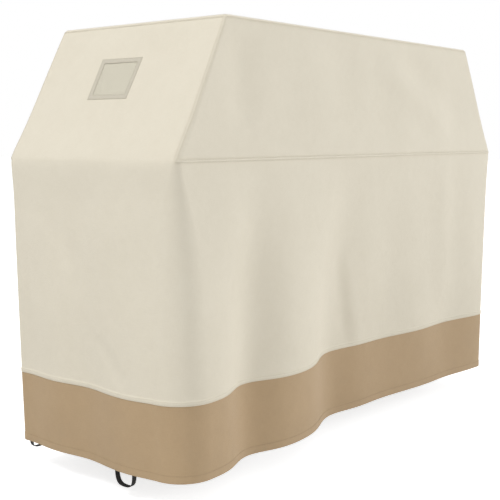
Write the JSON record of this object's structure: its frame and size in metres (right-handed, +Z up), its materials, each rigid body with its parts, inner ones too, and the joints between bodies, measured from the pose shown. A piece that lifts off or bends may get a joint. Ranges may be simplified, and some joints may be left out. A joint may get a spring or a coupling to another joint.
{
  "type": "grill cover",
  "caption": "Fitted fabric cover for a gas grill: hipped top with sloping vented ends, straight skirt, contrasting hem band and buckled leg straps.",
  "frame": {"origin": "middle of the underside of the top panel, which lies on the grill's lid", "axes": "+X along the grill to its right end, +Y to its back, +Z up"},
  "size_m": [1.626, 0.6105, 1.1635],
  "materials": {
    "canvas": "coated woven canvas, matte",
    "band_canvas": "coated woven canvas, matte, darker",
    "seam_tape": "heat-sealed seam tape",
    "binding": "folded binding tape",
    "net": "knitted mesh",
    "webbing": "woven webbing",
    "buckle": "moulded acetal"
  },
  "bodies": {
    "cover": {"top_panel": "canvas", "front_upper_panel": "canvas", "back_upper_panel": "canvas", "front_skirt": "canvas", "back_skirt": "canvas", "left_end_panel": "canvas", "right_end_panel": "canvas", "front_hem_band": "band_canvas", "right_hem_band": "band_canvas", "back_hem_band": "band_canvas", "left_hem_band": "band_canvas", "shoulder_seam_tapes": "seam_tape", "hip_seam_tapes": "seam_tape", "corner_seam_tapes": "seam_tape", "band_seam_tapes": "seam_tape", "left_vent_binding": "binding", "left_vent_net": "net", "left_vent_baffle": "canvas", "right_vent_binding": "binding", "right_vent_net": "net", "right_vent_baffle": "canvas", "left_front_strap_tail": "webbing", "left_front_strap_patch": "band_canvas", "left_front_buckle_socket": "buckle", "left_rear_strap_tail": "webbing", "left_rear_strap_patch": "band_canvas", "left_rear_buckle_socket": "buckle", "right_front_strap_tail": "webbing", "right_front_strap_patch": "band_canvas", "right_front_buckle_socket": "buckle", "right_rear_strap_tail": "webbing", "right_rear_strap_patch": "band_canvas", "right_rear_buckle_socket": "buckle"},
    "left_front_plug": {"left_front_buckle_plug": "buckle", "left_front_strap_loop": "webbing"},
    "left_front_prong_a": {"left_front_buckle_prong_a": "buckle"},
    "left_front_prong_b": {"left_front_buckle_prong_b": "buckle"},
    "left_rear_plug": {"left_rear_buckle_plug": "buckle", "left_rear_strap_loop": "webbing"},
    "left_rear_prong_a": {"left_rear_buckle_prong_a": "buckle"},
    "left_rear_prong_b": {"left_rear_buckle_prong_b": "buckle"},
    "right_front_plug": {"right_front_buckle_plug": "buckle", "right_front_strap_loop": "webbing"},
    "right_front_prong_a": {"right_front_buckle_prong_a": "buckle"},
    "right_front_prong_b": {"right_front_buckle_prong_b": "buckle"},
    "right_rear_plug": {"right_rear_buckle_plug": "buckle", "right_rear_strap_loop": "webbing"},
    "right_rear_prong_a": {"right_rear_buckle_prong_a": "buckle"},
    "right_rear_prong_b": {"right_rear_buckle_prong_b": "buckle"}
  },
  "joints": [
    {"name": "left_front_buckle_release", "type": "slide", "parent": "cover", "child": "left_front_plug", "axis": [0.0259, 0, -0.9997], "range_m": [0, 0.03], "deforming": ["left_front_buckle_prong_a", "left_front_buckle_prong_b"]},
    {"name": "left_front_prong_a_squeeze", "type": "hinge", "parent": "left_front_plug", "child": "left_front_prong_a", "pos_m": [-0.78345, -0.1156, -1.06176], "axis": [0.9997, 0, 0.0259], "range_deg": [0, 11], "stiffness_Nm_per_rad": 0.3},
    {"name": "left_front_prong_b_squeeze", "type": "hinge", "parent": "left_front_plug", "child": "left_front_prong_b", "pos_m": [-0.78345, -0.1284, -1.06176], "axis": [-0.9997, 0, -0.0259], "range_deg": [0, 11], "stiffness_Nm_per_rad": 0.3},
    {"name": "left_rear_buckle_release", "type": "slide", "parent": "cover", "child": "left_rear_plug", "axis": [0, 0, -1], "range_m": [0, 0.03], "deforming": ["left_rear_buckle_prong_a", "left_rear_buckle_prong_b"]},
    {"name": "left_rear_prong_a_squeeze", "type": "hinge", "parent": "left_rear_plug", "child": "left_rear_prong_a", "pos_m": [-0.7666, 0.294, -1.062], "axis": [0, -1, 0], "range_deg": [0, 11], "stiffness_Nm_per_rad": 0.3},
    {"name": "left_rear_prong_b_squeeze", "type": "hinge", "parent": "left_rear_plug", "child": "left_rear_prong_b", "pos_m": [-0.7794, 0.294, -1.062], "axis": [0, 1, 0], "range_deg": [0, 11], "stiffness_Nm_per_rad": 0.3},
    {"name": "right_front_buckle_release", "type": "slide", "parent": "cover", "child": "right_front_plug", "axis": [-0.0259, 0, -0.9997], "range_m": [0, 0.03], "deforming": ["right_front_buckle_prong_a", "right_front_buckle_prong_b"]},
    {"name": "right_front_prong_a_squeeze", "type": "hinge", "parent": "right_front_plug", "child": "right_front_prong_a", "pos_m": [0.78345, -0.0664, -1.06176], "axis": [-0.9997, 0, 0.0259], "range_deg": [0, 11], "stiffness_Nm_per_rad": 0.3},
    {"name": "right_front_prong_b_squeeze", "type": "hinge", "parent": "right_front_plug", "child": "right_front_prong_b", "pos_m": [0.78345, -0.0536, -1.06176], "axis": [0.9997, 0, -0.0259], "range_deg": [0, 11], "stiffness_Nm_per_rad": 0.3},
    {"name": "right_rear_buckle_release", "type": "slide", "parent": "cover", "child": "right_rear_plug", "axis": [0, 0, -1], "range_m": [0, 0.03], "deforming": ["right_rear_buckle_prong_a", "right_rear_buckle_prong_b"]},
    {"name": "right_rear_prong_a_squeeze", "type": "hinge", "parent": "right_rear_plug", "child": "right_rear_prong_a", "pos_m": [0.7334, 0.294, -1.062], "axis": [0, -1, 0], "range_deg": [0, 11], "stiffness_Nm_per_rad": 0.3},
    {"name": "right_rear_prong_b_squeeze", "type": "hinge", "parent": "right_rear_plug", "child": "right_rear_prong_b", "pos_m": [0.7206, 0.294, -1.062], "axis": [0, 1, 0], "range_deg": [0, 11], "stiffness_Nm_per_rad": 0.3}
  ],
  "couplings": [
    {"joint": "left_front_prong_b_squeeze", "follows": "left_front_prong_a_squeeze", "ratio": 1},
    {"joint": "left_rear_prong_b_squeeze", "follows": "left_rear_prong_a_squeeze", "ratio": 1},
    {"joint": "right_front_prong_b_squeeze", "follows": "right_front_prong_a_squeeze", "ratio": 1},
    {"joint": "right_rear_prong_b_squeeze", "follows": "right_rear_prong_a_squeeze", "ratio": 1}
  ]
}
